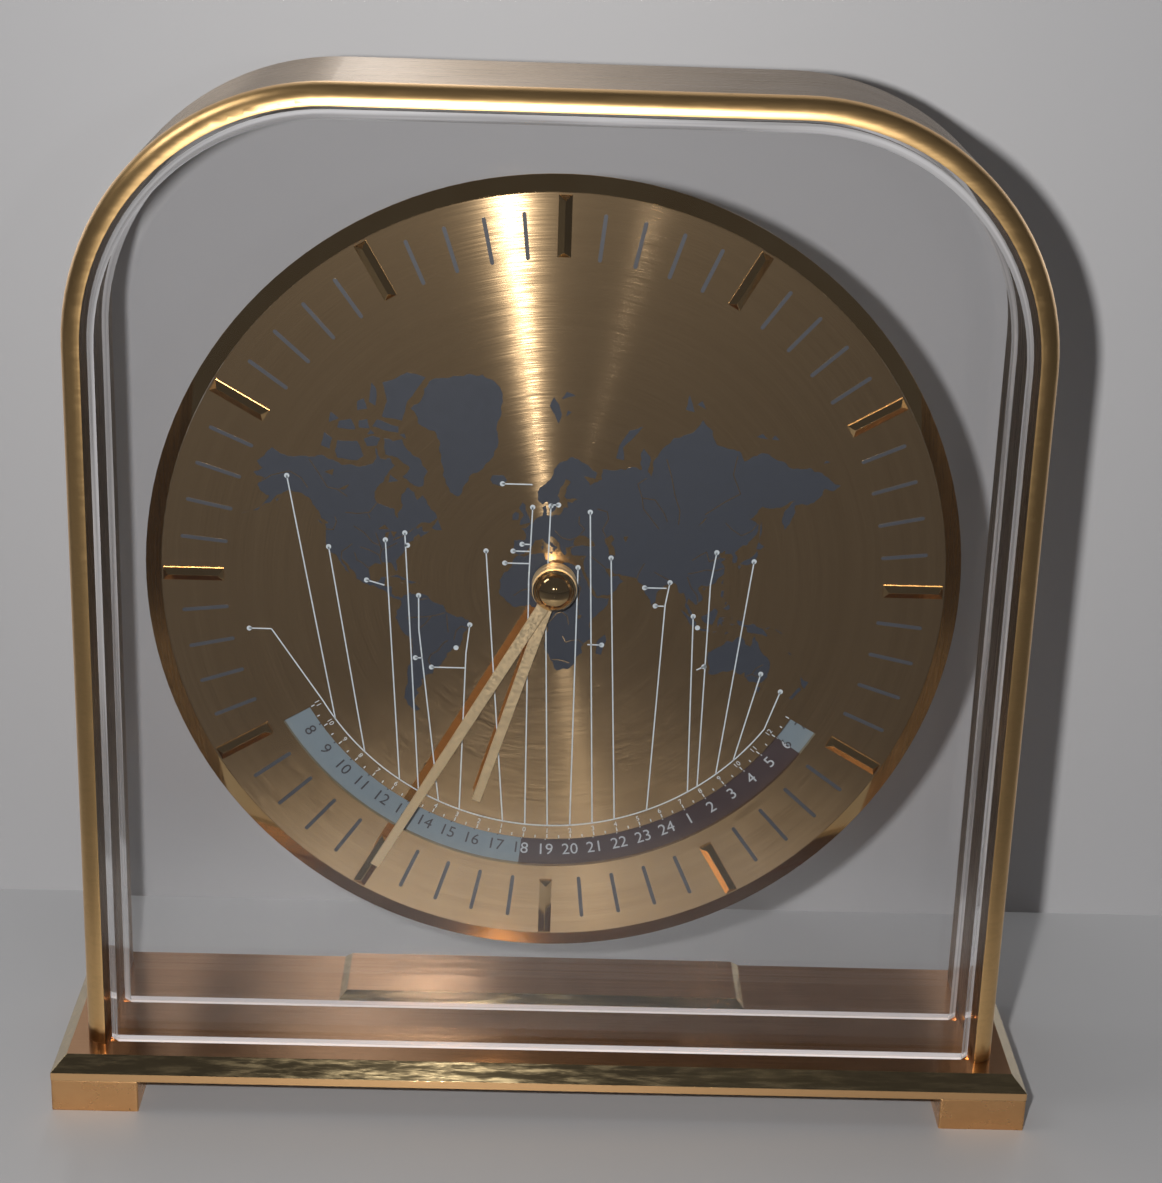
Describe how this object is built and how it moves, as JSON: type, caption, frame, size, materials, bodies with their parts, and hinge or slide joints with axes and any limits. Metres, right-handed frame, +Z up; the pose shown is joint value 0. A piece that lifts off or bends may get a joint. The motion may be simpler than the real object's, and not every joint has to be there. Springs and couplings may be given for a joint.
{
  "type": "desk clock",
  "caption": "Brass desk clock: arch band on a footed base, clear panes, round dial with hands, arc window with a 24-hour world disc, and a geared quartz movement behind.",
  "frame": {"origin": "middle of the footprint, on the table under the feet", "axes": "+X right seen from the front, +Y to the back, +Z up"},
  "size_m": [0.154, 0.04, 0.1608],
  "materials": {
    "brushed_brass": "brushed",
    "polished_brass": "polished",
    "dial_gold": "concentric brushed",
    "hand_gold": "satin",
    "clear_pane": "clear, polished",
    "disc_print": "printed, matte",
    "pan_metal": "satin",
    "steel": "plain",
    "gear_brass": "plain",
    "gear_plastic": "moulded",
    "black_plastic": "fine texture",
    "copper_wire": "enamelled wire",
    "board_green": "solder mask",
    "can_metal": "plain",
    "battery_can": "sleeve"
  },
  "bodies": {
    "case": {"base_plate": "brushed_brass", "base_plaque": "brushed_brass", "arch_band": "brushed_brass", "foot_front_left": "brushed_brass", "foot_front_right": "brushed_brass", "foot_rear_left": "brushed_brass", "foot_rear_right": "brushed_brass", "bezel": "polished_brass", "hour_markers": "polished_brass", "dial_plate": "dial_gold", "front_pane": "clear_pane", "rear_pane": "clear_pane", "dial_pan": "pan_metal", "retaining_ring": "pan_metal", "foot_screws": "steel", "band_screws": "steel", "movement_screws": "steel", "bridge_screws": "steel", "idler_pin": "steel", "minute_wheel_pin": "steel", "stator": "steel", "coil_core": "steel", "battery_contact_positive": "steel", "battery_contact_negative": "steel", "movement_front_housing": "black_plastic", "movement_rear_housing": "black_plastic", "bridge_plate": "black_plastic", "coil_winding": "copper_wire", "circuit_board": "board_green", "crystal": "can_metal", "battery": "battery_can"},
    "minute": {"minute_arbor": "gear_brass", "minute_hand": "hand_gold", "hub_cap": "polished_brass"},
    "hour": {"hour_wheel": "gear_plastic", "hour_hand": "hand_gold", "world_pinion": "gear_brass"},
    "day_disc": {"world_disc": "disc_print", "disc_wheel": "gear_plastic"},
    "disc_idler": {"world_idler": "gear_plastic"},
    "minute_gear": {"minute_wheel": "gear_plastic"},
    "setter": {"setting_arbor": "steel", "setting_knob": "black_plastic"},
    "motor_rotor": {"rotor": "steel"},
    "intermediate_gear": {"intermediate_wheel": "gear_plastic"},
    "fourth_gear": {"fourth_wheel": "gear_plastic"},
    "third_gear": {"third_wheel": "gear_plastic"},
    "centre_gear": {"centre_wheel": "gear_brass"}
  },
  "joints": [
    {"name": "minute_turn", "type": "hinge", "parent": "case", "child": "minute", "pos_m": [0, 0, 0.08415], "axis": [0, 1, 0], "continuous": true},
    {"name": "hour_turn", "type": "hinge", "parent": "case", "child": "hour", "pos_m": [0, 0, 0.08415], "axis": [0, 1, 0], "continuous": true},
    {"name": "day_disc_turn", "type": "hinge", "parent": "case", "child": "day_disc", "pos_m": [0, 0, 0.08415], "axis": [0, 1, 0], "continuous": true},
    {"name": "disc_idler_turn", "type": "hinge", "parent": "case", "child": "disc_idler", "pos_m": [-0.00679, 0, 0.07736], "axis": [0, 1, 0], "continuous": true},
    {"name": "minute_gear_turn", "type": "hinge", "parent": "case", "child": "minute_gear", "pos_m": [-0.00779, 0, 0.08865], "axis": [0, 1, 0], "continuous": true},
    {"name": "setter_turn", "type": "hinge", "parent": "case", "child": "setter", "pos_m": [-0.01679, 0, 0.08865], "axis": [0, 1, 0], "continuous": true},
    {"name": "rotor_turn", "type": "hinge", "parent": "case", "child": "motor_rotor", "pos_m": [-0.01036, 0, 0.09911], "axis": [0, 1, 0], "continuous": true},
    {"name": "intermediate_turn", "type": "hinge", "parent": "case", "child": "intermediate_gear", "pos_m": [-0.00266, 0, 0.10096], "axis": [0, 1, 0], "continuous": true},
    {"name": "fourth_turn", "type": "hinge", "parent": "case", "child": "fourth_gear", "pos_m": [0.00584, 0, 0.09887], "axis": [0, 1, 0], "continuous": true},
    {"name": "third_turn", "type": "hinge", "parent": "case", "child": "third_gear", "pos_m": [0.00883, 0, 0.08925], "axis": [0, 1, 0], "continuous": true},
    {"name": "centre_turn", "type": "hinge", "parent": "case", "child": "centre_gear", "pos_m": [0, 0, 0.08415], "axis": [0, 1, 0], "continuous": true}
  ],
  "couplings": [
    {"joint": "hour_turn", "follows": "minute_turn", "ratio": 0.083333},
    {"joint": "day_disc_turn", "follows": "minute_turn", "ratio": 0.013889},
    {"joint": "disc_idler_turn", "follows": "minute_turn", "ratio": -0.041667},
    {"joint": "minute_gear_turn", "follows": "minute_turn", "ratio": -0.33333},
    {"joint": "setter_turn", "follows": "minute_turn", "ratio": 1},
    {"joint": "intermediate_turn", "follows": "rotor_turn", "ratio": -0.2},
    {"joint": "fourth_turn", "follows": "rotor_turn", "ratio": 0.033333},
    {"joint": "third_turn", "follows": "rotor_turn", "ratio": -0.0041667},
    {"joint": "centre_turn", "follows": "rotor_turn", "ratio": 0.00055556}
  ]
}
